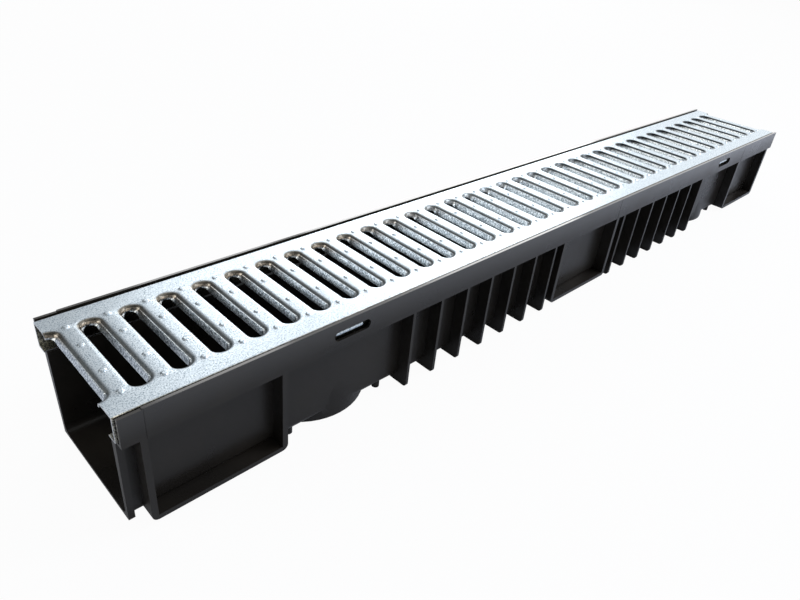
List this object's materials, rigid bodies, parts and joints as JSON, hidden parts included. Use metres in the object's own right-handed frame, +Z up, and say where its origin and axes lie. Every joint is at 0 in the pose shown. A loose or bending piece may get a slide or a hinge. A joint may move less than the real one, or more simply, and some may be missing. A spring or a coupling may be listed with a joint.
{
  "type": "channel drain",
  "caption": "Linear surface drain: a ribbed black plastic channel, open at both ends, with a slotted galvanised steel grate that lies in its rim.",
  "frame": {"origin": "middle of the channel body's length and width, on the ground that its ribs stand on", "axes": "+X along the channel from the end with the lowered rim to the other end, +Y across it, +Z up"},
  "size_m": [1.0013, 0.1264, 0.1001],
  "materials": {
    "black_polypropylene": "satin moulded polypropylene",
    "galvanised_steel": "hot-dip galvanised pressed sheet"
  },
  "bodies": {
    "root": {"channel_body": "black_polypropylene", "grate": "galvanised_steel"}
  },
  "joints": []
}
